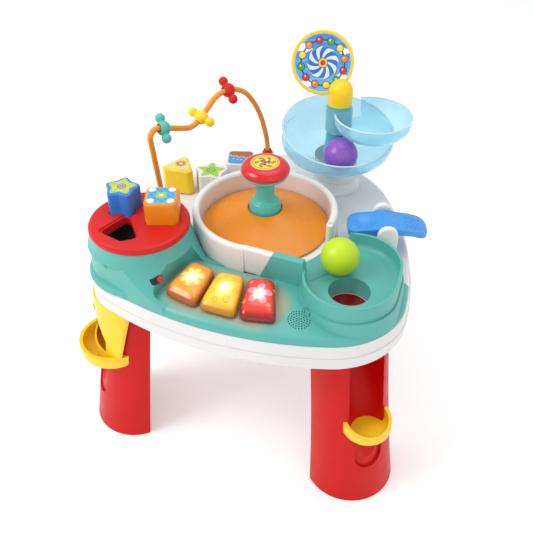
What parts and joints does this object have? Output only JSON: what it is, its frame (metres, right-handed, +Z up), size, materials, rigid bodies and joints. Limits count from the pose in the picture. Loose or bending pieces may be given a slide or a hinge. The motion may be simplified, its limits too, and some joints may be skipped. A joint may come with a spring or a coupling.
{
  "type": "musical activity table",
  "caption": "Rounded activity table on plug-in legs with spinning basin, ball tower, shape sorter, light-up keys, see-saw lever and bead wire.",
  "frame": {"origin": "centre of the bounding box, on the floor under the feet", "axes": "+Z up, -Y is the side with the keys, +X towards the see-saw lever"},
  "size_m": [0.5461, 0.5483, 0.6087],
  "materials": {
    "white": "smooth moulded white",
    "teal": "satin moulded teal",
    "red": "smooth moulded red",
    "lid_red": "satin moulded red",
    "yellow": "smooth moulded yellow",
    "orange": "smooth moulded orange",
    "blue": "smooth moulded blue",
    "clear_blue": "translucent light blue moulding",
    "clear_teal": "translucent teal moulding",
    "key_orange": "translucent orange key",
    "key_yellow": "translucent yellow key",
    "key_red": "translucent red key",
    "green": "smooth moulded lime green",
    "purple": "smooth moulded purple",
    "print": "printed sticker",
    "black": "matt black",
    "board": "circuit board",
    "silicone": "silicone",
    "steel": "plated steel",
    "lamp": "clear lamp"
  },
  "bodies": {
    "table": {"lower_casing": "white", "top_casing": "white", "basin": "white", "console": "teal", "sorter_lid": "lid_red", "leg_left": "red", "leg_right": "red", "leg_back": "red", "left_chute": "yellow", "right_tray": "yellow", "tower_pedestal": "white", "lower_bowl": "clear_blue", "tower_column": "clear_teal", "upper_bowl": "clear_blue", "tower_screw": "steel", "dome_cap": "yellow", "sign_frame": "yellow", "sign_panel": "print", "peg_stickers": "print", "bead_wire": "orange", "wire_collars": "lid_red", "lever_pin": "steel", "spinner_axle": "steel", "speaker": "black", "circuit_board": "board", "leds": "lamp", "key_pads": "silicone", "battery_box": "white", "batteries": "steel", "battery_contacts": "steel", "battery_door": "white", "battery_door_screw": "steel", "casing_screws": "steel", "leg_screws": "steel", "switch_bezel": "black"},
    "spinner": {"spin_plate": "orange", "spinner_post": "teal", "spinner_cap": "lid_red", "spinner_sticker": "print"},
    "key_orange": {"key_orange": "key_orange"},
    "key_yellow": {"key_yellow": "key_yellow"},
    "key_red": {"key_red": "key_red"},
    "switch_slider": {"switch_slider": "lid_red"},
    "lever": {"lever": "blue"},
    "bead_teal": {"bead_teal": "teal"},
    "bead_yellow": {"bead_yellow": "yellow"},
    "bead_red": {"bead_red": "lid_red"},
    "block_star": {"block_star": "blue", "star_sticker": "print"},
    "block_square": {"block_square": "orange", "square_sticker": "print"},
    "block_triangle": {"block_triangle": "yellow", "triangle_sticker": "print"},
    "ball_green": {"ball_green": "green"},
    "ball_purple": {"ball_purple": "purple"}
  },
  "joints": [
    {"name": "spinner_turn", "type": "hinge", "parent": "table", "child": "spinner", "pos_m": [0.0018, -0.044, 0.4], "axis": [0, 0, 1], "continuous": true},
    {"name": "key_orange_press", "type": "slide", "parent": "table", "child": "key_orange", "axis": [0, 0, 1], "range_m": [-0.003, 0], "stiffness_N_per_m": 400, "springref_m": 0.0008},
    {"name": "key_yellow_press", "type": "slide", "parent": "table", "child": "key_yellow", "axis": [0, 0, 1], "range_m": [-0.003, 0], "stiffness_N_per_m": 400, "springref_m": 0.0008},
    {"name": "key_red_press", "type": "slide", "parent": "table", "child": "key_red", "axis": [0, 0, 1], "range_m": [-0.003, 0], "stiffness_N_per_m": 400, "springref_m": 0.0008},
    {"name": "power_switch", "type": "slide", "parent": "table", "child": "switch_slider", "axis": [0.6011, 0.7677, 0.2222], "range_m": [-0.009, 0]},
    {"name": "see_saw", "type": "hinge", "parent": "table", "child": "lever", "pos_m": [0.18762, -0.00258, 0.378], "axis": [0.3173, -0.9483, 0], "range_deg": [-12, 12]},
    {"name": "bead_teal_turn", "type": "hinge", "parent": "table", "child": "bead_teal", "pos_m": [-0.17106, -0.03069, 0.49934], "axis": [0.384, 0.8465, -0.3688], "continuous": true},
    {"name": "bead_yellow_turn", "type": "hinge", "parent": "table", "child": "bead_yellow", "pos_m": [-0.13777, 0.04272, 0.48753], "axis": [0.3346, 0.7376, 0.5865], "continuous": true},
    {"name": "bead_red_turn", "type": "hinge", "parent": "table", "child": "bead_red", "pos_m": [-0.11174, 0.10009, 0.51305], "axis": [0.4085, 0.9006, -0.1483], "continuous": true},
    {"name": "block_star_lift", "type": "slide", "parent": "table", "child": "block_star", "axis": [0, 0, 1], "range_m": [0, 0.09]},
    {"name": "block_square_lift", "type": "slide", "parent": "table", "child": "block_square", "axis": [0, 0, 1], "range_m": [0, 0.09]},
    {"name": "block_triangle_lift", "type": "slide", "parent": "table", "child": "block_triangle", "axis": [0, 0, 1], "range_m": [0, 0.09]},
    {"name": "ball_green_lift", "type": "slide", "parent": "table", "child": "ball_green", "axis": [0, 0, 1], "range_m": [0, 0.1]},
    {"name": "ball_purple_roll", "type": "hinge", "parent": "table", "child": "ball_purple", "pos_m": [0.0693, 0.14648, 0.429], "axis": [0, 0, 1], "range_deg": [-160, 0]}
  ]
}
